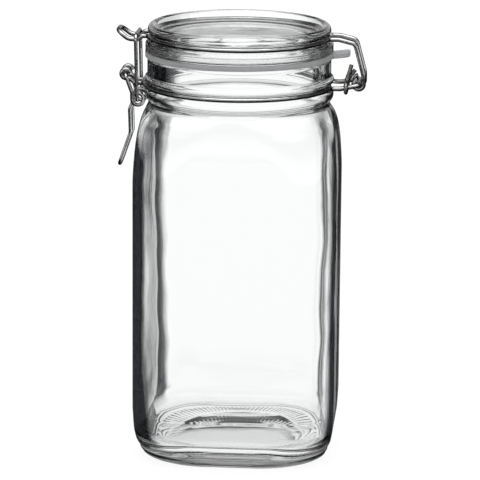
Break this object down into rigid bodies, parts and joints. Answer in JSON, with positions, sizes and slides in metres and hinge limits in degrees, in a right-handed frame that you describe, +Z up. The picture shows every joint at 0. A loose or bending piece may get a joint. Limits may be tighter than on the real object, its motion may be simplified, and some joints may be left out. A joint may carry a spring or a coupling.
{
  "type": "bail clamp jar",
  "caption": "Square-bodied glass storage jar with a round neck, a glass lid on a rubber ring, and a hinged wire clamp with a lever latch.",
  "frame": {"origin": "on the axis of the neck, at the plane the foot rests on, which is 1.2 mm from the middle of the box because the clamp reaches further at the hinge than at the nose", "axes": "+Z up along the jar, +X towards the lid's hinge, -X towards the lever, +Y across"},
  "size_m": [0.1265, 0.103, 0.2199],
  "materials": {
    "jar_glass": "clear pressed glass, smooth with slight waviness",
    "lid_glass": "clear pressed glass",
    "seal_rubber": "translucent whitish rubber",
    "lid_wire_steel": "bright drawn wire",
    "neck_wire_steel": "bright drawn wire",
    "tie_steel": "dull galvanised binding wire",
    "lever_steel": "bright drawn wire",
    "link_steel": "bright drawn wire"
  },
  "bodies": {
    "jar": {"jar_body": "jar_glass", "neck_wire": "neck_wire_steel", "tie_wire": "tie_steel"},
    "lid": {"lid": "lid_glass", "gasket": "seal_rubber", "lid_wire": "lid_wire_steel"},
    "lever": {"latch_lever": "lever_steel"},
    "link": {"latch_link": "link_steel"}
  },
  "joints": [
    {"name": "lid_hinge", "type": "hinge", "parent": "jar", "child": "lid", "pos_m": [0.0607, 0, 0.1912], "axis": [0, 1, 0], "range_deg": [0, 105]},
    {"name": "lever_swing", "type": "hinge", "parent": "jar", "child": "lever", "pos_m": [-0.057, 0, 0.1938], "axis": [0, 1, 0], "range_deg": [0, 140]},
    {"name": "link_swing", "type": "hinge", "parent": "lid", "child": "link", "pos_m": [-0.0516, 0, 0.2144], "axis": [0, 1, 0], "range_deg": [0, 225]}
  ],
  "couplings": [
    {"joint": "link_swing", "follows": "lid_hinge", "ratio": 2.1429}
  ]
}
